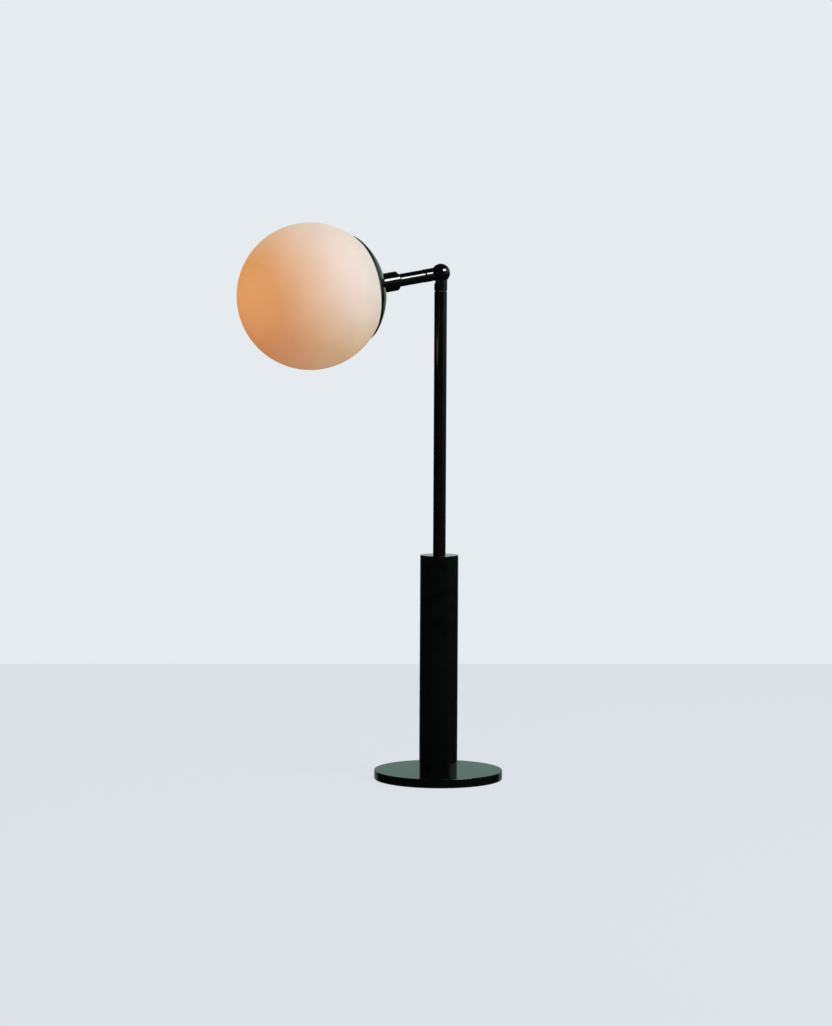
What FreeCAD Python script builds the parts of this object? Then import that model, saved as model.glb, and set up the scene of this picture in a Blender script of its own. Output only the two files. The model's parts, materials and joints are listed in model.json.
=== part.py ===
import FreeCAD, Part
import math
import os

# A table lamp: a round base, a heavy stem, a thin pole, a friction ball elbow, and an opal
# globe seated in a shallow dish. Millimetres, +Z up, head pointing along -X. The origin is
# the centre of the foot, on the surface that the lamp stands on.

V = FreeCAD.Vector
ORIGIN = V(0, 0, 0)
X_AXIS = V(1, 0, 0)
Y_AXIS = V(0, 1, 0)
Z_AXIS = V(0, 0, 1)

# Base
base_radius = 67.0
base_thickness = 9.2
base_edge_round = 0.5
pad_radius = 59.5
pad_thickness = 2.0
pad_proud = 0.5
pad_clearance = 0.5

# Stem
stem_radius = 19.9
stem_wall = 2.0
stem_height = 225.3
stem_top_thickness = 4.0
stem_edge_round = 0.4
foot_height = 12.0
chamber_height = 32.0

# Screws that hold the stem to the base
base_screw_count = 3
base_screw_circle = 11.0
base_screw_radius = 2.5
base_screw_head_radius = 4.7
base_screw_length = 16.0
base_screw_hex = 3.0
earth_screw_radius = 2.0
earth_screw_head_radius = 3.6
earth_screw_head_height = 2.4
earth_screw_length = 8.0

# Cord inlet on the +Y side of the stem
inlet_rise = 12.0
inlet_bore = 3.2
inlet_neck = 4.5
inlet_flange = 6.5
inlet_flange_depth = 1.9
inlet_inner_depth = 2.0

# Tubes and hollow threaded rod
pole_radius = 6.6
pole_wall = 1.55
pole_length = 273.4
rod_radius = 5.0
rod_bore = 3.2
rod_engagement = 16.0
nut_across_flats = 17.0
nut_height = 6.0
washer_radius = 11.0
washer_thickness = 1.6
rod_tail = 2.4

# Swivel at the top of the pole
swivel_gap = 1.0
swivel_washer_radius = 6.1
bushing_length = 14.0
spigot_radius = 3.5
spigot_bore = 2.3
spigot_spring_height = 0.8
spigot_nut_radius = 4.2
spigot_nut_height = 4.0
spigot_tail = 1.0
swivel_stop_height = 2.0
swivel_travel = 165.0

# Ball elbow
ball_radius = 9.7
stub_radius = 6.8
knuckle_reach = 18.2
arm_reach = 21.9
relief_radius = 12.5
arm_relief_radius = 13.8
groove_bevel = 0.5
seam_bevel = 0.9
parting_gap = 0.06
pivot_radius = 2.0
pivot_depth = 7.0
pivot_head_radius = 3.5
pivot_head_height = 2.8
pivot_seat = 3.8
pivot_spring_height = 0.8
pivot_hex = 2.5
friction_disc_radius = 4.6
friction_disc_thickness = 0.8
stop_pin_radius = 0.8
stop_pin_circle = 6.2
stop_pin_angle = -50.0
stop_pin_sunk = 3.0
stop_pin_proud = 1.9
head_drop = 9.1
lower_travel = 13.7
raise_travel = 98.3

# Arm and collar
arm_length = 40.9
arm_nipple_length = 13.0
collar_radius = 9.95
collar_socket = 10.3
head_reach = 158.75

# Dish and globe
globe_radius = 74.1
globe_wall = 2.2
dish_gap = 0.3
dish_wall = 3.1
dish_shift = 5.0
dish_half_angle = 48.8
dish_lip = 0.2
dish_bevel_degrees = 2.6

# Globe holder
flange_thickness = 1.5
flange_radius = 35.4
skirt_depth = 8.5
ring_inner_radius = 37.7
ring_outer_radius = 39.7
ring_depth = 7.5
gasket_thickness = 1.0
lug_count = 3
lug_span = 40.0
lug_thickness = 1.5
lug_reach = 1.9
spacer_radius = 9.0

# Lamp holder
socket_radius = 17.5
socket_wall = 2.2
socket_cap_length = 14.0
socket_cap_floor = 3.0
core_radius = 15.1
core_length = 8.5
skirt_length = 26.0
skirt_bore = 14.4
terminal_radius = 2.5
terminal_height = 1.8
terminal_offset = 8.0
nipple_start_gap = 0.7

# Screw shell and bulb
thread_pitch = 3.62
thread_turns = 5
thread_crest = 13.2
thread_root = 12.2
shell_wall = 0.4
contact_radius = 4.0
contact_thickness = 0.6
contact_spring_height = 1.9
bulb_tip_height = 1.2
bulb_insulator_height = 3.2
bulb_radius = 22.5
bulb_length = 69.3
bulb_wall = 0.8
bulb_shoulder = 17.8
led_post_radius = 2.6
led_post_height = 15.0
led_disc_radius = 6.5
led_disc_thickness = 1.5
led_count = 4
led_radius = 0.75
led_length = 19.0
led_circle = 5.4

# Leads
lead_radius = 0.9
lead_channel = 1.3
lead_shift = 1.6
lead_entry = 17.0
arm_lead_entry = 23.0
lead_corner = 9.0
lead_inset = 1.0
splice_radius = 3.0
splice_length = 15.0

# Fits, each on the radius or across a flat gap
thread_fit = 0.05
running_fit = 0.05
press_gap = 0.1
loose_gap = 0.3
cut_margin = 1.0
stop_room_degrees = 1.0

# Heights up the stand
plate_bottom = pad_proud
plate_top = plate_bottom + base_thickness
foot_top = plate_top + foot_height
stem_top = plate_top + stem_height
stem_ceiling = stem_top - stem_top_thickness
ballast_bottom = foot_top + chamber_height
washer_bottom = ballast_bottom - washer_thickness
nut_bottom = washer_bottom - nut_height
rod_bottom = nut_bottom - rod_tail
rod_top = stem_top + rod_engagement
pole_top = stem_top + pole_length
pole_bore = pole_radius - pole_wall
stub_end = pole_top + swivel_gap
hinge_height = stub_end + knuckle_reach
hinge = V(0, 0, hinge_height)
inlet_centre = foot_top + inlet_rise

# Places along the swivel spigot. The fixed and the moving stop share what the swivel's
# travel leaves of the full turn.
swivel_stop_span = math.degrees(math.pi) - swivel_travel - stop_room_degrees
bushing_bottom = pole_top - bushing_length
spring_bottom = bushing_bottom - spigot_spring_height
nut_base = spring_bottom - spigot_nut_height
swivel_stop_low = spring_bottom - swivel_stop_height
spigot_bottom = nut_base - spigot_tail
spigot_top = hinge_height - relief_radius - press_gap

# Distances from the elbow along the arm
arm_end = arm_reach + arm_length
collar_start = arm_end - collar_socket
nipple_start = arm_end + nipple_start_gap
dish_inner = globe_radius + dish_gap
dish_apex = head_reach - dish_inner - dish_wall
dish_centre = head_reach - dish_shift
dish_outer = dish_centre - dish_apex
globe_mouth = ring_outer_radius + loose_gap
ring_back = head_reach - math.sqrt(dish_inner ** 2 - ring_outer_radius ** 2) + gasket_thickness
tab_front = ring_back + ring_depth - lug_thickness
skirt_end = tab_front + press_gap + lug_thickness
flange_front = skirt_end - skirt_depth
flange_back = flange_front - flange_thickness
cap_front = flange_front + socket_cap_length
cap_floor = flange_front + socket_cap_floor
core_back = cap_front - core_length
skirt_front = cap_front + skirt_length
bulb_tip = cap_front + contact_spring_height + contact_thickness
insulator_start = bulb_tip + bulb_tip_height
bulb_cap_start = insulator_start + bulb_insulator_height
bulb_centre = bulb_tip + bulb_length - bulb_radius
bulb_neck = thread_root - shell_wall - press_gap
bulb_cap_hole = thread_root - 4 * shell_wall
bulb_cap_end = bulb_cap_start + thread_pitch * thread_turns + cut_margin


def tube(outer, inner, low, high):
    body = Part.makeCylinder(outer, high - low, V(0, 0, low))
    bore = Part.makeCylinder(inner, high - low + 2 * cut_margin, V(0, 0, low - cut_margin))
    return body.cut(bore)


def rod(radius, low, high, x=0.0, y=0.0):
    return Part.makeCylinder(radius, high - low, V(x, y, low))


def flat_rims(shape, height=None):
    # The level edges of a turned shape: all of them, or those at one height.
    rims = [edge for edge in shape.Edges if edge.BoundBox.ZLength < 0.001]
    if height is None:
        return rims
    return [edge for edge in rims if abs(edge.BoundBox.ZMax - height) < 0.001]


def turned(points):
    # Points are (radius, height) pairs round a closed outline.
    corners = [V(radius, 0, height) for radius, height in points]
    face = Part.Face(Part.makePolygon(corners + [corners[0]]))
    return face.revolve(ORIGIN, Z_AXIS, 360)


def sector(inner, outer, low, high, middle, span):
    # A piece of a ring, span degrees wide, about the Z axis.
    corners = [V(inner, 0, low), V(outer, 0, low), V(outer, 0, high), V(inner, 0, high)]
    face = Part.Face(Part.makePolygon(corners + [corners[0]]))
    piece = face.revolve(ORIGIN, Z_AXIS, span)
    piece.rotate(ORIGIN, Z_AXIS, middle - span / 2)
    return piece


def hexagon(across_flats, low, high):
    corner = across_flats / math.sqrt(3)
    angles = [math.radians(60 * step) for step in range(7)]
    outline = [V(corner * math.cos(angle), corner * math.sin(angle), low) for angle in angles]
    return Part.Face(Part.makePolygon(outline)).extrude(V(0, 0, high - low))


def around(shape, count, first=0.0):
    copies = []
    for step in range(count):
        copy = shape.copy()
        copy.rotate(ORIGIN, Z_AXIS, first + 360.0 * step / count)
        copies.append(copy)
    return copies


def fused(shapes):
    result = shapes[0]
    for shape in shapes[1:]:
        result = result.fuse(shape)
    return result.removeSplitter()


def on_arm(shape):
    # Turns a piece made along +Z so that it lies along the arm, measured from the elbow.
    placed = shape.copy()
    placed.rotate(ORIGIN, Y_AXIS, -(90 + head_drop))
    placed.translate(hinge)
    return placed


def on_pivot(shape):
    # Turns a piece made along +Z so that it lies along the elbow's pivot.
    placed = shape.copy()
    placed.rotate(ORIGIN, X_AXIS, -90)
    placed.translate(hinge)
    return placed


def arm_point(along, up, side):
    # A point beside the arm: along it from the elbow, above its axis, and to the side.
    drop = math.radians(head_drop)
    x = -along * math.cos(drop) - up * math.sin(drop)
    z = -along * math.sin(drop) + up * math.cos(drop)
    return hinge.add(V(x, side, z))


def on_sphere(radius, degrees, centre):
    # The (radius, height) pair of a point on a sphere, its angle counted from the -Z side.
    angle = math.radians(degrees)
    return radius * math.sin(angle), centre - radius * math.cos(angle)


def spherical_shell(inner, outer, centre, start_angle, end_angle):
    # A shell between two radii, from one angle to another.
    def place(radius, degrees):
        distance, height = on_sphere(radius, degrees, centre)
        return V(distance, 0, height)

    middle = (start_angle + end_angle) / 2
    outer_arc = Part.Arc(place(outer, start_angle), place(outer, middle), place(outer, end_angle))
    inner_arc = Part.Arc(place(inner, end_angle), place(inner, middle), place(inner, start_angle))
    far_edge = Part.LineSegment(place(outer, end_angle), place(inner, end_angle))
    near_edge = Part.LineSegment(place(inner, start_angle), place(outer, start_angle))
    curves = [outer_arc, far_edge, inner_arc, near_edge]
    edges = [curve.toShape() for curve in curves]
    return Part.Face(Part.Wire(edges)).revolve(ORIGIN, Z_AXIS, 360)


def rounded_path(points):
    # Straight runs joined by tangent arcs as large as the shorter run beside each allows.
    edges = []
    start = points[0]
    for before, corner, after in zip(points, points[1:], points[2:]):
        run_in = corner.sub(before)
        run_out = after.sub(corner)
        shorter = min(run_in.Length, run_out.Length)
        half_turn = run_in.getAngle(run_out) / 2
        setback = 0.45 * shorter
        radius = setback / math.tan(half_turn)
        print("lead bend radius", round(radius, 2))
        way_in = V(run_in).normalize()
        way_out = V(run_out).normalize()
        arc_start = corner.sub(V(way_in).multiply(setback))
        arc_end = corner.add(V(way_out).multiply(setback))
        inward = V(way_out).sub(way_in).normalize()
        depth = radius / math.cos(half_turn) - radius
        edges.append(Part.LineSegment(start, arc_start).toShape())
        edges.append(Part.Arc(arc_start, corner.add(inward.multiply(depth)), arc_end).toShape())
        start = arc_end
    edges.append(Part.LineSegment(start, points[-1]).toShape())
    return Part.Wire(edges)


def cable(points, radius):
    path = rounded_path(points)
    heading = points[1].sub(points[0])
    profile = Part.Wire([Part.Circle(points[0], heading, radius).toShape()])
    return path.makePipeShell([profile], True, False)


# Base pieces

def make_felt_pad():
    return rod(pad_radius, 0, pad_thickness)


def make_base_plate():
    plate = rod(base_radius, plate_bottom, plate_top)
    plate = plate.makeFillet(base_edge_round, flat_rims(plate))
    recess = rod(pad_radius + pad_clearance, plate_bottom - cut_margin, pad_thickness)
    hole = rod(base_screw_radius + loose_gap, pad_thickness - cut_margin, plate_top + cut_margin)
    sink_depth = base_screw_head_radius - base_screw_radius
    wide = base_screw_head_radius + loose_gap
    narrow = base_screw_radius + loose_gap
    sink = Part.makeCone(wide, narrow, sink_depth, V(0, 0, pad_thickness))
    opening = hole.fuse(sink)
    opening.translate(V(base_screw_circle, 0, 0))
    return plate.cut(recess).cut(fused(around(opening, base_screw_count)))


def make_base_screws():
    head_height = base_screw_head_radius - base_screw_radius
    head_top = pad_thickness + head_height
    head = Part.makeCone(base_screw_head_radius, base_screw_radius, head_height, V(0, 0, pad_thickness))
    shank = rod(base_screw_radius, head_top, pad_thickness + base_screw_length)
    recess = hexagon(base_screw_hex, pad_thickness - cut_margin, head_top)
    screw = fused([head, shank]).cut(recess)
    screw.translate(V(base_screw_circle, 0, 0))
    return Part.makeCompound(around(screw, base_screw_count))


def make_stem_foot():
    radius = stem_radius - stem_wall - press_gap
    foot = rod(radius, plate_top, foot_top)
    depth = pad_thickness + base_screw_length + loose_gap
    hole = rod(base_screw_radius + thread_fit, plate_top - cut_margin, depth, base_screw_circle)
    foot = foot.cut(fused(around(hole, base_screw_count)))
    earth_low = foot_top - earth_screw_length - loose_gap
    earth_hole = rod(earth_screw_radius + thread_fit, earth_low, foot_top + cut_margin, -base_screw_circle)
    return foot.cut(earth_hole)


def make_earth_screw():
    shank = rod(earth_screw_radius, foot_top - earth_screw_length, foot_top)
    head_top = foot_top + earth_screw_head_height
    head = rod(earth_screw_head_radius, foot_top, head_top)
    head = head.makeFillet(earth_screw_head_height / 3, flat_rims(head, head_top))
    slot_size = earth_screw_radius / 2
    slot = Part.makeBox(3 * earth_screw_head_radius, slot_size, slot_size)
    slot.translate(V(-1.5 * earth_screw_head_radius, -slot_size / 2, head_top - slot_size))
    screw = fused([head, shank]).cut(slot)
    screw.translate(V(-base_screw_circle, 0, 0))
    return screw


# Stem pieces

def make_stem_sleeve():
    sleeve = rod(stem_radius, plate_top, stem_top)
    sleeve = sleeve.makeFillet(stem_edge_round, flat_rims(sleeve, stem_top))
    hollow = rod(stem_radius - stem_wall, plate_top - cut_margin, stem_ceiling)
    rod_hole = rod(rod_radius + thread_fit, stem_ceiling - cut_margin, stem_top + cut_margin)
    inlet = inlet_cylinder(inlet_neck + press_gap, 0, 2 * stem_radius)
    return sleeve.cut(hollow).cut(rod_hole).cut(inlet)


def inlet_cylinder(radius, start, end):
    return Part.makeCylinder(radius, end - start, V(0, start, inlet_centre), Y_AXIS)


def make_cord_grommet():
    outer_face = stem_radius + inlet_flange_depth
    inner_face = stem_radius - stem_wall - inlet_inner_depth
    flange = inlet_cylinder(inlet_flange, 0, outer_face)
    front = [edge for edge in flange.Edges if edge.BoundBox.YMin > outer_face - 0.001]
    flange = flange.makeFillet(inlet_flange_depth / 2, front)
    flange = flange.cut(rod(stem_radius + press_gap, 0, stem_top))
    lip = inlet_cylinder(inlet_flange, inner_face, stem_radius)
    lip = lip.common(rod(stem_radius - stem_wall - press_gap, 0, stem_top))
    neck = inlet_cylinder(inlet_neck, inner_face, stem_radius + inlet_flange_depth / 2)
    return fused([neck, flange, lip]).cut(inlet_cylinder(inlet_bore, 0, 2 * stem_radius))


def make_ballast_weight():
    outer = stem_radius - stem_wall - loose_gap
    return tube(outer, rod_radius + loose_gap / 2, ballast_bottom, stem_ceiling)


def make_ballast_washer():
    return tube(washer_radius, rod_radius + loose_gap / 2, washer_bottom, ballast_bottom)


def make_ballast_nut():
    bore = rod(rod_radius + thread_fit, nut_bottom - cut_margin, washer_bottom + cut_margin)
    return hexagon(nut_across_flats, nut_bottom, washer_bottom).cut(bore)


def make_centre_rod():
    return tube(rod_radius, rod_bore, rod_bottom, rod_top)


def make_pole_tube():
    return tube(pole_radius, pole_bore, stem_top, pole_top)


def make_lead_splice():
    low = rod_bottom - rod_tail - splice_length
    splice = rod(splice_radius, low, low + splice_length)
    return splice.makeFillet(splice_radius / 3, flat_rims(splice))


def make_stand_lead():
    return rod(lead_radius, rod_bottom - rod_tail, spigot_bottom)


# Swivel pieces

def make_swivel_bushing():
    body = tube(pole_bore - thread_fit, spigot_radius + running_fit, bushing_bottom, pole_top)
    inner = spigot_nut_radius + press_gap
    outer = pole_bore - press_gap
    high = bushing_bottom + cut_margin
    stop = sector(inner, outer, swivel_stop_low, high, 180, swivel_stop_span)
    return fused([body, stop])


def make_swivel_washer():
    return tube(swivel_washer_radius, spigot_radius + running_fit, pole_top, stub_end)


def make_swivel_spigot():
    return tube(spigot_radius, spigot_bore, spigot_bottom, spigot_top)


def make_spigot_spring():
    inner = spigot_radius + press_gap
    outer = spigot_nut_radius
    rise = spigot_spring_height / 2
    lower_face = [(inner, spring_bottom), (outer, spring_bottom + rise)]
    upper_face = [(outer, bushing_bottom), (inner, bushing_bottom - rise)]
    return turned(lower_face + upper_face)


def make_spigot_nut():
    nut = tube(spigot_nut_radius, spigot_radius + thread_fit, nut_base, spring_bottom)
    inner = spigot_radius + thread_fit
    outer = pole_bore - press_gap - thread_fit
    stop = sector(inner, outer, swivel_stop_low, spring_bottom, 0, swivel_stop_span)
    return fused([nut, stop])


# Elbow pieces

def knuckle_blank(reach, clear_radius, bevel):
    # Half a ball with half a stub, and the whole stub outside the relief's radius. Made along
    # +Z from the elbow, with the half on the +Y side.
    stub = rod(stub_radius, 0, reach)
    stub = stub.makeChamfer(bevel, flat_rims(stub, reach))
    ball = Part.makeSphere(ball_radius)
    span = 4 * ball_radius
    half_space = Part.makeBox(span, span, span, V(-span / 2, parting_gap / 2, -span / 2))
    half = ball.fuse(stub).common(half_space)
    relief = Part.makeCylinder(clear_radius, span, V(0, -span / 2, 0), Y_AXIS)
    return fused([half, stub.cut(relief)])


def lead_pipe(radius):
    points = [
        V(0, 0, spigot_bottom),
        V(0, 0, hinge_height - lead_entry),
        hinge.add(V(-lead_inset, -lead_shift, -lead_corner)),
        arm_point(lead_corner, -lead_inset, lead_shift),
        arm_point(arm_lead_entry, 0, 0),
        arm_point(core_back, 0, 0),
    ]
    return cable(points, radius)


def make_lower_knuckle():
    blank = knuckle_blank(knuckle_reach, relief_radius, groove_bevel)
    blank.rotate(ORIGIN, X_AXIS, 180)
    blank.translate(hinge)
    spigot_hole = rod(spigot_radius + thread_fit, stub_end - cut_margin, spigot_top + press_gap)
    pivot_hole = on_pivot(rod(pivot_radius + thread_fit, -pivot_depth - press_gap, cut_margin))
    disc_seat = on_pivot(rod(friction_disc_radius + press_gap, -friction_disc_thickness / 2, cut_margin))
    pin_hole = on_pivot(rod(stop_pin_radius + thread_fit, -stop_pin_sunk, cut_margin, *pin_place()))
    openings = [spigot_hole, pivot_hole, disc_seat, pin_hole, lead_pipe(lead_channel)]
    return blank.cut(openings)


def pin_place():
    # The stop pin's angle is counted from +X towards +Z. Round the pivot, the local Y axis
    # points down in the finished lamp.
    angle = math.radians(stop_pin_angle)
    return stop_pin_circle * math.cos(angle), -stop_pin_circle * math.sin(angle)


def stop_slot():
    width = stop_pin_radius + 3 * thread_fit
    end_room = math.degrees(width / stop_pin_circle)
    first = stop_pin_angle - lower_travel - end_room
    last = stop_pin_angle + raise_travel + end_room
    depth = stop_pin_proud + loose_gap
    inner = stop_pin_circle - width
    outer = stop_pin_circle + width
    return on_pivot(sector(inner, outer, -cut_margin, depth, -(first + last) / 2, last - first))


def make_arm_knuckle():
    blank = on_arm(knuckle_blank(arm_reach, arm_relief_radius, seam_bevel))
    nipple_low = arm_relief_radius + loose_gap
    nipple_hole = on_arm(rod(rod_radius + thread_fit, nipple_low, arm_reach + cut_margin))
    pivot_hole = on_pivot(rod(pivot_radius + running_fit, -cut_margin, ball_radius))
    head_well = on_pivot(rod(pivot_head_radius + loose_gap, pivot_seat, ball_radius + cut_margin))
    disc_seat = on_pivot(rod(friction_disc_radius + press_gap, -cut_margin, friction_disc_thickness / 2))
    openings = [nipple_hole, pivot_hole, head_well, disc_seat, stop_slot(), lead_pipe(lead_channel)]
    return blank.cut(openings)


def make_pivot_screw():
    head_base = pivot_seat + pivot_spring_height
    head_top = head_base + pivot_head_height
    shank = rod(pivot_radius, -pivot_depth, head_base)
    head = rod(pivot_head_radius, head_base, head_top)
    recess = hexagon(pivot_hex, head_base + pivot_head_height / 3, head_top + cut_margin)
    return on_pivot(fused([head, shank]).cut(recess))


def make_pivot_spring():
    inner = pivot_radius + press_gap
    outer = pivot_head_radius
    rise = pivot_spring_height / 2
    top = pivot_seat + pivot_spring_height
    outline = [(inner, top - rise), (outer, pivot_seat), (outer, pivot_seat + rise), (inner, top)]
    return on_pivot(turned(outline))


def make_friction_disc():
    half = friction_disc_thickness / 2
    return on_pivot(tube(friction_disc_radius, pivot_radius + press_gap, -half, half))


def make_stop_pin():
    return on_pivot(rod(stop_pin_radius, -stop_pin_sunk, stop_pin_proud, *pin_place()))


# Arm pieces

def make_arm_nipple():
    low = arm_relief_radius + loose_gap
    return on_arm(tube(rod_radius, rod_bore, low, low + arm_nipple_length))


def make_arm_tube():
    outside = rod(pole_radius, arm_reach, arm_end)
    outside = outside.makeChamfer(seam_bevel, flat_rims(outside, arm_reach))
    return on_arm(outside.cut(rod(pole_bore, arm_reach - cut_margin, arm_end + cut_margin)))


def make_arm_collar():
    chamfer = collar_radius - pole_radius
    outline = [
        (pole_radius + thread_fit, collar_start),
        (collar_radius, collar_start + chamfer),
        (collar_radius, dish_apex + cut_margin),
        (rod_radius + thread_fit, dish_apex + cut_margin),
        (rod_radius + thread_fit, arm_end),
        (pole_radius + thread_fit, arm_end),
    ]
    seat = Part.makeSphere(dish_outer + thread_fit, V(0, 0, dish_centre))
    return on_arm(turned(outline).cut(seat))


def make_socket_nipple():
    return on_arm(tube(rod_radius, rod_bore, nipple_start, cap_floor))


# Dish and globe pieces

def dish_face(degrees):
    # How far the dish's outer face lies from the globe's centre. The face is a sphere whose
    # centre lies behind the globe's, so that the wall thins towards the rim.
    angle = math.radians(degrees)
    aside = dish_shift * math.sin(angle)
    return dish_shift * math.cos(angle) + math.sqrt(dish_outer ** 2 - aside ** 2)


def rim_bevel():
    # What comes off the dish's outer face, so that its rim ends in a lip round the globe.
    bevel_start = dish_half_angle - dish_bevel_degrees
    beyond_rim = dish_half_angle + dish_bevel_degrees
    around_dish = dish_inner + dish_wall + cut_margin
    wide = on_sphere(dish_face(bevel_start), bevel_start, head_reach)
    lip = on_sphere(dish_inner + dish_lip, dish_half_angle, head_reach)
    low = on_sphere(around_dish, beyond_rim, head_reach)
    high = on_sphere(around_dish, bevel_start, head_reach)
    return turned([wide, lip, low, high])


def make_shade_dish():
    hole = math.degrees(math.asin((rod_radius + loose_gap) / dish_inner))
    around_dish = dish_inner + dish_wall + cut_margin
    shell = spherical_shell(dish_inner, around_dish, head_reach, hole, dish_half_angle)
    outside = Part.makeSphere(dish_outer, V(0, 0, dish_centre))
    return on_arm(shell.common(outside).cut(rim_bevel()))


def make_glass_globe():
    inner = globe_radius - globe_wall
    mouth = math.degrees(math.asin(globe_mouth / inner))
    return on_arm(spherical_shell(inner, globe_radius, head_reach, mouth, 180))


def make_spacer_ring():
    seat = Part.makeSphere(dish_inner - thread_fit, V(0, 0, head_reach))
    ring = tube(spacer_radius, rod_radius + loose_gap, dish_apex, flange_back)
    return on_arm(ring.common(seat))


def make_globe_flange():
    inside = flange_radius - flange_thickness
    disc = tube(flange_radius, rod_radius + loose_gap, flange_back, flange_front)
    skirt = tube(flange_radius, inside, flange_back, skirt_end)
    lug = sector(inside, flange_radius + lug_reach, skirt_end - lug_thickness, skirt_end, 0, lug_span)
    return on_arm(fused([disc, skirt] + around(lug, lug_count)))


def make_globe_ring():
    band = tube(ring_outer_radius, ring_inner_radius, ring_back, ring_back + ring_depth)
    inner = ring_inner_radius - lug_reach
    tab = sector(inner, ring_outer_radius, tab_front - lug_thickness, tab_front, 0, lug_span)
    return on_arm(fused([band] + around(tab, lug_count)))


def make_globe_gasket():
    # A ring whose back follows the dish and whose front carries the globe's ring.
    inner = ring_inner_radius
    outer = ring_outer_radius - press_gap
    back_low = head_reach - math.sqrt(dish_inner ** 2 - inner ** 2) + loose_gap
    back_high = head_reach - math.sqrt(dish_inner ** 2 - outer ** 2) + loose_gap
    return on_arm(turned([(inner, back_low), (outer, back_high), (outer, ring_back), (inner, ring_back)]))


# Lamp holder pieces

def make_socket_cap():
    inside = socket_radius - socket_wall
    shell = tube(socket_radius, inside, flange_front, cap_front)
    floor = tube(socket_radius, rod_radius + thread_fit, flange_front, cap_floor)
    return on_arm(fused([shell, floor]))


def make_socket_core():
    return on_arm(rod(core_radius, core_back, cap_front))


def make_terminal_screws():
    screw = rod(terminal_radius, core_back - terminal_height, core_back, terminal_offset)
    return on_arm(Part.makeCompound(around(screw, 2, 90)))


def make_socket_skirt():
    return on_arm(tube(socket_radius, skirt_bore, cap_front, skirt_front))


def thread_outline(offset, start, turns):
    # Crests and roots of the round thread, drawn as separate rings.
    points = []
    for turn in range(turns):
        base = start + thread_pitch * turn
        points.append((thread_root + offset, base))
        points.append((thread_root + offset, base + 0.2 * thread_pitch))
        points.append((thread_crest + offset, base + 0.4 * thread_pitch))
        points.append((thread_crest + offset, base + 0.8 * thread_pitch))
    points.append((thread_root + offset, start + thread_pitch * turns))
    return points


def make_screw_shell():
    inner = thread_outline(press_gap, bulb_cap_start, thread_turns - 1)
    outer = thread_outline(press_gap + shell_wall, bulb_cap_start, thread_turns - 1)
    hole = contact_radius + loose_gap
    wall_inside = thread_root + press_gap
    floor_top = cap_front + shell_wall
    inner_floor = [(hole, floor_top), (wall_inside, floor_top)]
    outer_floor = [(wall_inside + shell_wall, cap_front), (hole, cap_front)]
    return on_arm(turned(inner_floor + inner + outer[::-1] + outer_floor))


def make_centre_contact():
    foot = rod(contact_radius, cap_front, cap_front + contact_thickness)
    post = rod(contact_radius / 2, cap_front, bulb_tip)
    return on_arm(fused([foot, post]))


# Bulb pieces

def make_bulb_cap():
    outer = thread_outline(0, bulb_cap_start, thread_turns)
    inner = thread_outline(-shell_wall, bulb_cap_start + shell_wall, thread_turns)
    top = [(thread_crest, bulb_cap_end), (thread_crest - shell_wall, bulb_cap_end)]
    hole = [(bulb_cap_hole, bulb_cap_start + shell_wall), (bulb_cap_hole, bulb_cap_start)]
    return on_arm(turned(outer + top + inner[::-1] + hole))


def make_bulb_insulator():
    wide = bulb_cap_hole - thread_fit
    base = V(0, 0, insulator_start)
    return on_arm(Part.makeCone(contact_radius, wide, bulb_insulator_height, base))


def make_bulb_contact():
    tip = rod(contact_radius, bulb_tip, insulator_start)
    return on_arm(tip.makeChamfer(bulb_tip_height / 2, flat_rims(tip, bulb_tip)))


def bulb_shape(radius, neck, shoulder, low):
    # A round bulb with a neck, turned about Z.
    def place(distance):
        return V(distance, 0, bulb_centre - math.sqrt(radius ** 2 - distance ** 2))

    points = [V(0, 0, low), V(neck, 0, low), V(neck, 0, bulb_cap_end)]
    edges = [Part.LineSegment(start, end).toShape() for start, end in zip(points, points[1:])]
    edges.append(Part.LineSegment(points[-1], place(shoulder)).toShape())
    top = V(0, 0, bulb_centre + radius)
    edges.append(Part.Arc(place(shoulder), V(radius, 0, bulb_centre), top).toShape())
    edges.append(Part.LineSegment(top, points[0]).toShape())
    return Part.Face(Part.Wire(edges)).revolve(ORIGIN, Z_AXIS, 360)


def make_bulb_glass():
    low = bulb_cap_end - thread_pitch
    outer = bulb_shape(bulb_radius, bulb_neck, bulb_shoulder, low)
    inside = bulb_radius - bulb_wall
    inner = bulb_shape(inside, bulb_neck - bulb_wall, bulb_shoulder - bulb_wall, low - cut_margin)
    return on_arm(outer.cut(inner))


def make_led_carrier():
    base_low = bulb_cap_end - thread_pitch
    disc_low = base_low + led_post_height
    plug = rod(bulb_neck - bulb_wall - press_gap, base_low, base_low + led_disc_thickness)
    post = rod(led_post_radius, base_low, disc_low)
    disc = rod(led_disc_radius, disc_low, disc_low + led_disc_thickness)
    return on_arm(fused([plug, post, disc]))


def make_led_filaments():
    low = bulb_cap_end - thread_pitch + led_post_height + led_disc_thickness
    filament = rod(led_radius, low, low + led_length, led_circle)
    return on_arm(Part.makeCompound(around(filament, led_count)))


# The lead through the elbow, cut between the two halves

def half_elbow(side):
    # The relief space on one side of the parting plane; side is the sign of Y.
    span = 4 * relief_radius
    space = Part.makeCylinder(relief_radius, span, V(0, side * parting_gap / 2, 0), V(0, side, 0))
    space.translate(hinge)
    return space


def elbow_space():
    span = 4 * relief_radius
    space = Part.makeCylinder(relief_radius, span, V(0, -span / 2, 0), Y_AXIS)
    space.translate(hinge)
    return space


def make_knuckle_lead():
    stub = rod(spigot_radius, spigot_bottom, hinge_height)
    return lead_pipe(lead_radius).common(stub.cut(elbow_space()).fuse(half_elbow(-1)))


def make_arm_lead():
    stub = on_arm(rod(spigot_radius, 0, core_back))
    return lead_pipe(lead_radius).common(stub.cut(elbow_space()).fuse(half_elbow(1)))


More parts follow.
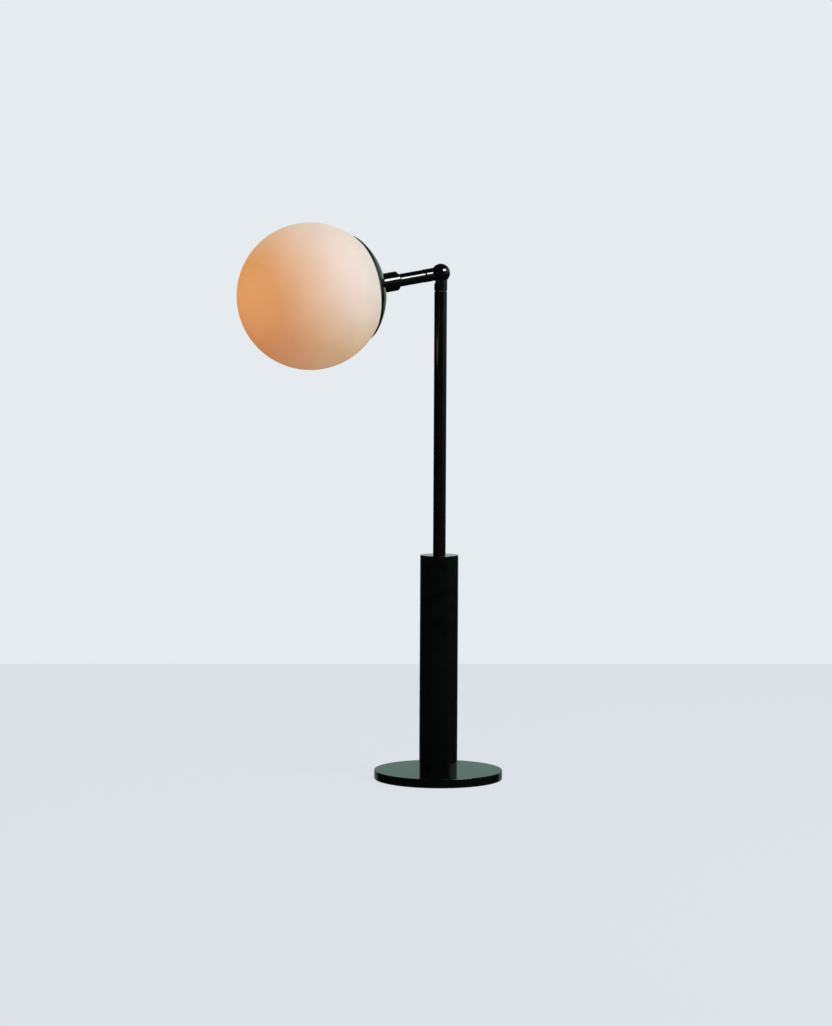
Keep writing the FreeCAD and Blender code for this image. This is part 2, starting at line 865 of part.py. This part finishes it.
pieces = {
    "felt_pad": make_felt_pad,
    "base_plate": make_base_plate,
    "base_screws": make_base_screws,
    "stem_foot": make_stem_foot,
    "earth_screw": make_earth_screw,
    "stem_sleeve": make_stem_sleeve,
    "cord_grommet": make_cord_grommet,
    "ballast_weight": make_ballast_weight,
    "ballast_washer": make_ballast_washer,
    "ballast_nut": make_ballast_nut,
    "centre_rod": make_centre_rod,
    "pole_tube": make_pole_tube,
    "lead_splice": make_lead_splice,
    "stand_lead": make_stand_lead,
    "swivel_bushing": make_swivel_bushing,
    "swivel_washer": make_swivel_washer,
    "swivel_spigot": make_swivel_spigot,
    "spigot_spring": make_spigot_spring,
    "spigot_nut": make_spigot_nut,
    "lower_knuckle": make_lower_knuckle,
    "pivot_screw": make_pivot_screw,
    "pivot_spring": make_pivot_spring,
    "friction_disc": make_friction_disc,
    "stop_pin": make_stop_pin,
    "knuckle_lead": make_knuckle_lead,
    "arm_knuckle": make_arm_knuckle,
    "arm_nipple": make_arm_nipple,
    "arm_tube": make_arm_tube,
    "arm_collar": make_arm_collar,
    "socket_nipple": make_socket_nipple,
    "shade_dish": make_shade_dish,
    "glass_globe": make_glass_globe,
    "spacer_ring": make_spacer_ring,
    "globe_flange": make_globe_flange,
    "globe_ring": make_globe_ring,
    "globe_gasket": make_globe_gasket,
    "socket_cap": make_socket_cap,
    "socket_core": make_socket_core,
    "terminal_screws": make_terminal_screws,
    "socket_skirt": make_socket_skirt,
    "screw_shell": make_screw_shell,
    "centre_contact": make_centre_contact,
    "bulb_cap": make_bulb_cap,
    "bulb_insulator": make_bulb_insulator,
    "bulb_contact": make_bulb_contact,
    "bulb_glass": make_bulb_glass,
    "led_carrier": make_led_carrier,
    "led_filaments": make_led_filaments,
    "arm_lead": make_arm_lead,
}

os.makedirs("parts", exist_ok=True)
for name, make in pieces.items():
    shape = make()
    if not shape.isValid():
        print("not valid:", name)
    print(name, len(shape.Solids), "solids", round(shape.Volume / 1000, 3), "cm3")
    shape.exportStep(f"parts/{name}.step")
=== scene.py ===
import json
import math

import bpy
from mathutils import Matrix, Vector

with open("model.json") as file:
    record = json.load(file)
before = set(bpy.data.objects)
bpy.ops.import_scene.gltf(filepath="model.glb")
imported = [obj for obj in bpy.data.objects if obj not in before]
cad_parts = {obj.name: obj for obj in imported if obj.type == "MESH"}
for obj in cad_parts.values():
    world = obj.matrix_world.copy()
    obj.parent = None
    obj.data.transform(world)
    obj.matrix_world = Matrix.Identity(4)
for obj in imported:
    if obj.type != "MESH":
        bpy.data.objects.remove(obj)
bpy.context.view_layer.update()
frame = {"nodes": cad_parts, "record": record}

scene = bpy.context.scene

# The view, measured in the frame whose +Y runs from the camera's side to the lamp's pole
CAMERA_DISTANCE = 3.04296
CAMERA_HEIGHT = 0.4893
LAMP_YAW = math.radians(33.2155)
CAMERA_HEADING = math.radians(-0.4605)
CAMERA_PITCH = math.radians(3.9615)
CAMERA_ROLL = math.radians(0.2759)
CAMERA_LENS = 102.861
SENSOR_WIDTH = 36.0
CLIP_NEAR = 0.05
CLIP_FAR = 50.0

# Linear colours of the wall and the floor
WALL_COLOUR = (0.791, 0.831, 0.863, 1.0)
FLOOR_COLOUR = (0.716, 0.753, 0.799, 1.0)

# Light on the surfaces, where 1 shows a white surface as white
LIGHT_COLOUR = (1.0, 1.0, 1.0, 1.0)
LIGHT_FROM_ABOVE = 0.55
LIGHT_FROM_BELOW = 0.25

# The softbox to the right of the camera
KEY_RADIANCE = 15.0
KEY_DISTANCE = 2.2
KEY_WIDTH = 1.3
KEY_HEIGHT = 0.7
KEY_AZIMUTH = math.radians(53.4)
KEY_ELEVATION = math.radians(34.0)

# The room as the paint mirrors it: dark, but for a wall behind the lamp, one to its right and
# a dim one beside the softbox. A stop is a place from straight down (0) to straight up (1) and
# its colour there.
DARK_ROOM = (0.004, 0.004, 0.004, 1.0)
SIDE_GLOW = (0.26, 0.42, 0.37, 1.0)
BACK_STOPS = [
    (0.406, (0.006, 0.008, 0.008)),
    (0.419, (0.34, 0.53, 0.48)),
    (0.4235, (0.03, 0.04, 0.04)),
    (0.436, (0.03, 0.04, 0.04)),
    (0.50, (0.20, 0.30, 0.27)),
    (0.542, (0.475, 0.65, 0.58)),
    (0.577, (0.228, 0.356, 0.304)),
    (0.80, (0.13, 0.20, 0.17)),
]
RIGHT_STOPS = [
    (0.446, (0.003, 0.004, 0.004)),
    (0.466, (0.02, 0.03, 0.03)),
    (0.486, (0.06, 0.10, 0.09)),
    (0.506, (0.13, 0.22, 0.20)),
    (0.53, (0.13, 0.22, 0.20)),
    (0.57, (0.02, 0.03, 0.03)),
]

# Where each of those walls fades in, by how far a direction runs to the back or to the right,
# and for the dim one also by its place from straight down to straight up
BACK_FADE = (0.66, 0.94)
RIGHT_FADE = (0.60, 0.95)
GLOW_BACK_FADE = (-0.35, -0.05)
GLOW_RIGHT_FADE = (0.55, 0.80)
GLOW_RISE = (0.53, 0.62)

# The floor: its far edge behind the pole, how much further that lies for each metre to the
# right, so that it looks level, and how far the floor runs otherwise
FLOOR_BACK = 0.9957
FLOOR_SLANT = 0.0478
FLOOR_FRONT = -4.0
FLOOR_HALF_WIDTH = 4.0

# The share of the floor's own light in what the camera sees of it, and that light's strength
FLOOR_GLOW = 0.92
FLOOR_GLOW_STRENGTH = 1.015

# The lamp, as its CAD gives it
HINGE_HEIGHT = 0.5276
HEAD_DROP = math.radians(9.1)
HEAD_REACH = 0.15875
GLOBE_RADIUS = 0.0741

# The lit globe's colours from the dish (0) to the front (1), and the painted shade and light
# that they are multiplied by, from the globe's lowest point (0) to its highest (1): painted
# shade below, painted light above
GLOBE_GLOW = [
    (0.24, (0.53, 0.47, 0.42)),
    (0.36, (0.607, 0.495, 0.436)),
    (0.50, (0.582, 0.437, 0.366)),
    (0.62, (0.584, 0.389, 0.281)),
    (0.74, (0.590, 0.324, 0.178)),
    (0.83, (0.586, 0.266, 0.101)),
    (0.91, (0.599, 0.230, 0.042)),
    (1.00, (0.683, 0.264, 0.061)),
]
# Painted shade towards the bottom and painted light towards the top, as light falls from above
GLOBE_PAINTED_SHADE_AND_LIGHT = [
    (0.00, (0.70, 0.49, 0.27)),
    (0.12, (0.79, 0.59, 0.32)),
    (0.25, (0.86, 0.74, 0.52)),
    (0.40, (0.95, 0.90, 0.82)),
    (0.55, (1.00, 1.00, 1.00)),
    (0.80, (1.04, 1.08, 1.11)),
    (1.00, (1.02, 1.01, 0.95)),
]

# The parts of a noise texture's range over which a surface changes
TONE_SPAN = (0.35, 0.65)
GLOSS_SPAN = (0.3, 0.7)
DUST_SPAN = (0.74, 0.80)


# The camera

def turned(x, y, z=0.0):
    """A vector of the camera's frame, turned into the lamp's."""
    cosine = math.cos(LAMP_YAW)
    sine = math.sin(LAMP_YAW)
    return Vector((x * cosine + y * sine, -x * sine + y * cosine, z))


def view_axes():
    """The camera's right, up and forward directions in the lamp's frame."""
    flat = math.cos(CAMERA_PITCH)
    forward = turned(
        math.sin(CAMERA_HEADING) * flat,
        math.cos(CAMERA_HEADING) * flat,
        -math.sin(CAMERA_PITCH),
    )
    level = turned(math.cos(CAMERA_HEADING), -math.sin(CAMERA_HEADING))
    upright = level.cross(forward)
    right = math.cos(CAMERA_ROLL) * level + math.sin(CAMERA_ROLL) * upright
    up = math.cos(CAMERA_ROLL) * upright - math.sin(CAMERA_ROLL) * level
    return right, up, forward


def matrix_of(right, up, back, place):
    """A placement from its three axes and its origin."""
    rows = [(right[i], up[i], back[i], place[i]) for i in range(3)]
    return Matrix(rows + [(0.0, 0.0, 0.0, 1.0)])


def make_camera():
    """The photograph's camera."""
    right, up, forward = view_axes()
    data = bpy.data.cameras.new("camera")
    data.sensor_width = SENSOR_WIDTH
    data.lens = CAMERA_LENS
    data.clip_start = CLIP_NEAR
    data.clip_end = CLIP_FAR
    camera = bpy.data.objects.new("camera", data)
    scene.collection.objects.link(camera)
    place = turned(0.0, -CAMERA_DISTANCE, CAMERA_HEIGHT)
    camera.matrix_world = matrix_of(right, up, -forward, place)
    scene.camera = camera


# Nodes

def add(tree, kind, inputs=None, **settings):
    """Adds a node. An input is a value, or a socket to link from."""
    made = tree.nodes.new(kind)
    for key, value in settings.items():
        setattr(made, key, value)
    for key, value in (inputs or {}).items():
        if isinstance(value, bpy.types.NodeSocket):
            tree.links.new(value, made.inputs[key])
        else:
            made.inputs[key].default_value = value
    return made


def calculated(tree, operation, first, second):
    """The result of a math operation on two numbers."""
    return add(tree, "ShaderNodeMath", {0: first, 1: second}, operation=operation).outputs[0]


def along(tree, vector, direction):
    """How far a vector runs along a fixed direction."""
    inputs = {0: vector, 1: tuple(direction)}
    return add(tree, "ShaderNodeVectorMath", inputs, operation="DOT_PRODUCT").outputs["Value"]


def share_of(tree, value):
    """Turns a value from -1 to 1 into one from 0 to 1."""
    inputs = {"Value": value, "From Min": -1.0, "From Max": 1.0}
    return add(tree, "ShaderNodeMapRange", inputs).outputs["Result"]


def smooth(tree, value, low, high, out_low=0.0, out_high=1.0):
    """A smooth step from out_low, up to the value low, to out_high, from the value high on."""
    inputs = {
        "Value": value,
        "From Min": low,
        "From Max": high,
        "To Min": out_low,
        "To Max": out_high,
    }
    made = add(tree, "ShaderNodeMapRange", inputs, interpolation_type="SMOOTHSTEP")
    return made.outputs["Result"]


def ramp(tree, value, stops):
    """A colour ramp through (place, colour) stops."""
    made = add(tree, "ShaderNodeValToRGB", {"Fac": value})
    elements = made.color_ramp.elements
    while len(elements) < len(stops):
        elements.new(0.5)
    for element, (place, colour) in zip(elements, stops):
        element.position = place
        element.color = (*colour, 1.0)
    return made.outputs["Color"]


def mixed(tree, share, first, second, blend="MIX"):
    """Two colours mixed, by a share of 0 for the first to 1 for the second."""
    inputs = {0: share, 6: first, 7: second}
    made = add(tree, "ShaderNodeMix", inputs, data_type="RGBA", blend_type=blend)
    return made.outputs[2]


def background(tree, colour, strength=1.0):
    """A background's light."""
    inputs = {"Color": colour, "Strength": strength}
    return add(tree, "ShaderNodeBackground", inputs).outputs[0]


def seen_plainly(tree, path):
    """1 on a ray from the camera, also through glass, and otherwise 0."""
    return calculated(tree, "MAXIMUM", path["Is Camera Ray"], path["Is Transmission Ray"])


# Surroundings

def mirrored_room(tree, direction, height):
    """What the paint mirrors."""
    behind = along(tree, direction, turned(0.0, 1.0))
    sideways = along(tree, direction, turned(1.0, 0.0))
    share = share_of(tree, height)

    back_light = smooth(tree, behind, *BACK_FADE)
    right_light = smooth(tree, sideways, *RIGHT_FADE)
    glow_light = calculated(
        tree,
        "MULTIPLY",
        smooth(tree, behind, *GLOW_BACK_FADE),
        smooth(tree, sideways, *GLOW_RIGHT_FADE),
    )
    glow_light = calculated(tree, "MULTIPLY", glow_light, smooth(tree, share, *GLOW_RISE))

    room = background(tree, ramp(tree, share, BACK_STOPS), back_light)
    others = [
        background(tree, ramp(tree, share, RIGHT_STOPS), right_light),
        background(tree, DARK_ROOM),
        background(tree, SIDE_GLOW, glow_light),
    ]
    for other in others:
        room = add(tree, "ShaderNodeAddShader", {0: room, 1: other}).outputs[0]
    return room


def make_world():
    """A pale room. What lights surfaces is plain; what they mirror is dark in front."""
    world = bpy.data.worlds.new("room")
    scene.world = world
    world.use_nodes = True
    world.cycles.sampling_method = "NONE"
    tree = world.node_tree
    tree.nodes.clear()
    path = add(tree, "ShaderNodeLightPath").outputs
    direction = add(tree, "ShaderNodeTexCoord").outputs["Generated"]
    height = add(tree, "ShaderNodeSeparateXYZ", {0: direction}).outputs["Z"]

    light_level = smooth(tree, height, -1.0, 1.0, LIGHT_FROM_BELOW, LIGHT_FROM_ABOVE)
    light = background(tree, LIGHT_COLOUR, light_level)
    mirrored = mirrored_room(tree, direction, height)
    wall = background(tree, WALL_COLOUR)

    unseen = add(tree, "ShaderNodeMixShader", {0: path["Is Glossy Ray"], 1: light, 2: mirrored})
    inputs = {0: seen_plainly(tree, path), 1: unseen.outputs[0], 2: wall}
    both = add(tree, "ShaderNodeMixShader", inputs)
    add(tree, "ShaderNodeOutputWorld", {"Surface": both.outputs[0]})


def make_key_light():
    """A wide softbox to the right of the camera and above it."""
    level_part = math.cos(KEY_ELEVATION)
    direction = turned(
        math.sin(KEY_AZIMUTH) * level_part,
        -math.cos(KEY_AZIMUTH) * level_part,
        math.sin(KEY_ELEVATION),
    )
    data = bpy.data.lights.new("softbox", "AREA")
    data.shape = "RECTANGLE"
    data.size = KEY_WIDTH
    data.size_y = KEY_HEIGHT
    # An area lamp of power P and area A shines with radiance P / (A pi).
    data.energy = KEY_RADIANCE * KEY_WIDTH * KEY_HEIGHT * math.pi
    lamp = bpy.data.objects.new("softbox", data)
    scene.collection.objects.link(lamp)
    sideways = Vector((0.0, 0.0, 1.0)).cross(direction).normalized()
    place = Vector((0.0, 0.0, HINGE_HEIGHT)) + KEY_DISTANCE * direction
    lamp.matrix_world = matrix_of(sideways, direction.cross(sideways), direction, place)


def floor_material():
    """A diffuse floor that the camera sees mostly by its own light, so that it looks even."""
    material = bpy.data.materials.new("floor")
    material.use_nodes = True
    tree = material.node_tree
    tree.nodes.clear()
    path = add(tree, "ShaderNodeLightPath").outputs
    share = calculated(tree, "MULTIPLY", seen_plainly(tree, path), FLOOR_GLOW)
    plain = add(tree, "ShaderNodeBsdfDiffuse", {"Color": FLOOR_COLOUR})
    inputs = {"Color": FLOOR_COLOUR, "Strength": FLOOR_GLOW_STRENGTH}
    glow = add(tree, "ShaderNodeEmission", inputs)
    both = add(tree, "ShaderNodeMixShader", {0: share, 1: plain.outputs[0], 2: glow.outputs[0]})
    add(tree, "ShaderNodeOutputMaterial", {"Surface": both.outputs[0]})
    return material


def make_floor():
    """The floor, which the paint doesn't mirror, because the mirrored room stands in for it."""
    slant = FLOOR_SLANT * FLOOR_HALF_WIDTH
    corners = [
        turned(-FLOOR_HALF_WIDTH, FLOOR_FRONT),
        turned(FLOOR_HALF_WIDTH, FLOOR_FRONT),
        turned(FLOOR_HALF_WIDTH, FLOOR_BACK + slant),
        turned(-FLOOR_HALF_WIDTH, FLOOR_BACK - slant),
    ]
    mesh = bpy.data.meshes.new("floor")
    mesh.from_pydata([tuple(corner) for corner in corners], [], [(0, 1, 2, 3)])
    mesh.materials.append(floor_material())
    floor = bpy.data.objects.new("floor", mesh)
    scene.collection.objects.link(floor)
    floor.visible_glossy = False


# Materials, all in the lamp's own coordinates

def new_material(name, **values):
    """A Principled material, with its constants on the shader's own sockets."""
    material = bpy.data.materials.new(name)
    material.use_nodes = True
    tree = material.node_tree
    tree.nodes.clear()
    shader = add(tree, "ShaderNodeBsdfPrincipled", values)
    add(tree, "ShaderNodeOutputMaterial", {"Surface": shader.outputs[0]})
    return material, tree, shader


def noise(tree, scale, detail=3.0, roughness=0.55, distortion=0.0):
    """A noise texture's value. The scale is in cells per metre."""
    inputs = {
        "Vector": add(tree, "ShaderNodeTexCoord").outputs["Object"],
        "Scale": scale,
        "Detail": detail,
        "Roughness": roughness,
        "Distortion": distortion,
    }
    return add(tree, "ShaderNodeTexNoise", inputs).outputs["Fac"]


def bump(tree, shader, height, depth):
    """Raises a surface by a height from 0 to 1, times a depth in metres."""
    made = add(tree, "ShaderNodeBump", {"Height": height, "Distance": depth, "Strength": 1.0})
    tree.links.new(made.outputs[0], shader.inputs["Normal"])


def two_tones(tree, dark, light, scale, **settings):
    """A colour that wanders between two tones."""
    stops = list(zip(TONE_SPAN, (dark, light)))
    return ramp(tree, noise(tree, scale, **settings), stops)


def mottled(tree, shader, dark, light, scale, **settings):
    """Gives a shader a base colour that wanders between two tones."""
    colour = two_tones(tree, dark, light, scale, **settings)
    tree.links.new(colour, shader.inputs["Base Color"])


def uneven_gloss(tree, shader, low, high, scale, **settings):
    """Gives a shader a roughness that wanders from low to high."""
    value = smooth(tree, noise(tree, scale, **settings), *GLOSS_SPAN, low, high)
    tree.links.new(value, shader.inputs["Roughness"])


def black_paint():
    """A glossy black coat on all that the photograph shows of the metal."""
    material, tree, shader = new_material("black_paint_coat")
    coat = two_tones(tree, (0.0016, 0.002, 0.0019), (0.0028, 0.0033, 0.0031), scale=75.0)
    # Fine dust that has settled into the coat
    specks = smooth(tree, noise(tree, scale=1900.0, detail=1.0), *DUST_SPAN, 0.0, 0.5)
    colour = mixed(tree, specks, coat, (0.02, 0.022, 0.021, 1.0))
    tree.links.new(colour, shader.inputs["Base Color"])
    uneven_gloss(tree, shader, low=0.06, high=0.10, scale=120.0, detail=4.0)
    # Faint clouds where the coat is a little thicker
    clouds = smooth(tree, noise(tree, scale=55.0), *GLOSS_SPAN, 0.78, 1.0)
    tree.links.new(clouds, shader.inputs["Specular IOR Level"])
    # The slight orange peel of a sprayed coat
    bump(tree, shader, noise(tree, scale=250.0, detail=2.0), depth=0.000004)
    return material


def opal_glass():
    """The lit globe: orange where the light leaves its front, cream by the dish; painted shade
    below, painted light above.
    """
    values = {"Roughness": 0.6, "Specular IOR Level": 0.3, "Emission Strength": 1.0}
    material, tree, shader = new_material("lit_opal_glass", **values)
    mottled(tree, shader, (0.17, 0.155, 0.13), (0.19, 0.175, 0.15), scale=45.0)
    axis = Vector((-math.cos(HEAD_DROP), 0.0, -math.sin(HEAD_DROP)))
    centre = Vector((0.0, 0.0, HINGE_HEIGHT)) + HEAD_REACH * axis
    place = add(tree, "ShaderNodeTexCoord").outputs["Object"]
    inputs = {0: place, 1: tuple(centre)}
    radial = add(tree, "ShaderNodeVectorMath", inputs, operation="SUBTRACT").outputs[0]
    forward = along(tree, radial, axis / GLOBE_RADIUS)
    upward = along(tree, radial, Vector((0.0, 0.0, 1.0 / GLOBE_RADIUS)))
    glow = ramp(tree, share_of(tree, forward), GLOBE_GLOW)
    # Painted shade and light by height: the underside is duller, the upper half brighter, and
    # the very top a little duller than what lies below it
    painted_light_and_shade = ramp(tree, share_of(tree, upward), GLOBE_PAINTED_SHADE_AND_LIGHT)
    colour = mixed(tree, 1.0, glow, painted_light_and_shade, blend="MULTIPLY")
    tree.links.new(colour, shader.inputs["Emission Color"])
    uneven_gloss(tree, shader, low=0.55, high=0.66, scale=60.0)
    bump(tree, shader, noise(tree, scale=300.0, detail=2.0), depth=0.000008)
    return material


def felt():
    """Pressed black felt under the foot."""
    values = {"Specular IOR Level": 0.2, "Sheen Weight": 0.25, "Sheen Roughness": 0.4}
    material, tree, shader = new_material("pressed_felt", **values)
    fibre = {"detail": 6.0, "roughness": 0.7, "distortion": 1.5}
    mottled(tree, shader, (0.012, 0.012, 0.012), (0.045, 0.045, 0.045), scale=700.0, **fibre)
    uneven_gloss(tree, shader, low=0.85, high=1.0, scale=200.0)
    fluff = noise(tree, scale=1300.0, detail=5.0, distortion=2.0)
    bump(tree, shader, fluff, depth=0.0003)
    return material


def cast_iron():
    """Rough cast iron with a dull skin."""
    material, tree, shader = new_material("cast_iron_skin", Metallic=0.7)
    mottled(tree, shader, (0.07, 0.07, 0.072), (0.17, 0.165, 0.16), scale=180.0, detail=6.0)
    uneven_gloss(tree, shader, low=0.55, high=0.8, scale=240.0)
    bump(tree, shader, noise(tree, scale=420.0, detail=6.0, roughness=0.65), depth=0.00025)
    return material


def turned_metal(name, dark, light, gloss):
    """Metal with fine tool marks and uneven plating."""
    material, tree, shader = new_material(name, Metallic=1.0)
    mottled(tree, shader, dark, light, scale=140.0, detail=4.0)
    uneven_gloss(tree, shader, *gloss, scale=320.0, detail=4.0)
    bump(tree, shader, noise(tree, scale=1500.0, detail=2.0), depth=0.00001)
    return material


def moulded(name, dark, light, gloss, grain=1100.0, depth=0.00002, **values):
    """A moulded or glazed surface with a fine grain."""
    material, tree, shader = new_material(name, **values)
    mottled(tree, shader, dark, light, scale=90.0, detail=4.0)
    uneven_gloss(tree, shader, *gloss, scale=260.0)
    bump(tree, shader, noise(tree, grain), depth)
    return material


def make_materials():
    """Each slot's material. A gloss is the lowest and highest roughness."""
    return {
        "black_paint": black_paint(),
        "felt": felt(),
        "cast_iron": cast_iron(),
        "opal_glass": opal_glass(),
        "zinc_steel": turned_metal(
            "zinc_plate",
            dark=(0.50, 0.50, 0.47),
            light=(0.66, 0.66, 0.64),
            gloss=(0.22, 0.42),
        ),
        "brass": turned_metal(
            "brass_metal",
            dark=(0.66, 0.50, 0.23),
            light=(0.80, 0.63, 0.33),
            gloss=(0.16, 0.34),
        ),
        "nickel": turned_metal(
            "nickel_plate",
            dark=(0.62, 0.59, 0.54),
            light=(0.74, 0.71, 0.66),
            gloss=(0.12, 0.28),
        ),
        "black_rubber": moulded(
            "rubber_skin",
            dark=(0.012, 0.012, 0.012),
            light=(0.028, 0.028, 0.028),
            gloss=(0.55, 0.75),
        ),
        "gasket": moulded(
            "silicone_foam",
            dark=(0.68, 0.67, 0.64),
            light=(0.78, 0.77, 0.75),
            gloss=(0.6, 0.8),
            grain=700.0,
            depth=0.0002,
        ),
        "black_plastic": moulded(
            "nylon_black",
            dark=(0.014, 0.014, 0.014),
            light=(0.03, 0.03, 0.03),
            gloss=(0.4, 0.55),
        ),
        "white_plastic": moulded(
            "nylon_white",
            dark=(0.76, 0.74, 0.70),
            light=(0.84, 0.82, 0.79),
            gloss=(0.35, 0.5),
        ),
        "lead_jacket": moulded(
            "silicone_sleeve",
            dark=(0.72, 0.69, 0.64),
            light=(0.82, 0.80, 0.76),
            gloss=(0.45, 0.6),
        ),
        "opal_bulb": moulded(
            "opal_bulb_glass",
            dark=(0.80, 0.74, 0.64),
            light=(0.88, 0.83, 0.74),
            gloss=(0.25, 0.4),
            **{"Emission Color": (1.0, 0.72, 0.42, 1.0), "Emission Strength": 1.0},
        ),
        "clear_glass": moulded(
            "clear_glass_stem",
            dark=(0.88, 0.90, 0.90),
            light=(0.94, 0.96, 0.96),
            gloss=(0.02, 0.08),
            **{"Transmission Weight": 1.0, "IOR": 1.5},
        ),
        "porcelain": moulded(
            "porcelain_glaze",
            dark=(0.80, 0.79, 0.75),
            light=(0.88, 0.87, 0.84),
            gloss=(0.12, 0.25),
        ),
        "led_phosphor": moulded(
            "phosphor_coat",
            dark=(0.90, 0.62, 0.16),
            light=(0.98, 0.76, 0.28),
            gloss=(0.4, 0.6),
            **{"Emission Color": (1.0, 0.74, 0.40, 1.0), "Emission Strength": 3.0},
        ),
    }


def dress_nodes():
    """Gives each CAD node the material of its slot."""
    made = make_materials()
    for part in frame["record"]["subparts"]:
        data = frame["nodes"][part["node"]].data
        data.materials.clear()
        data.materials.append(made[part["material_slot"]])


scene.view_settings.view_transform = "Standard"
make_camera()
make_world()
make_key_light()
make_floor()
dress_nodes()
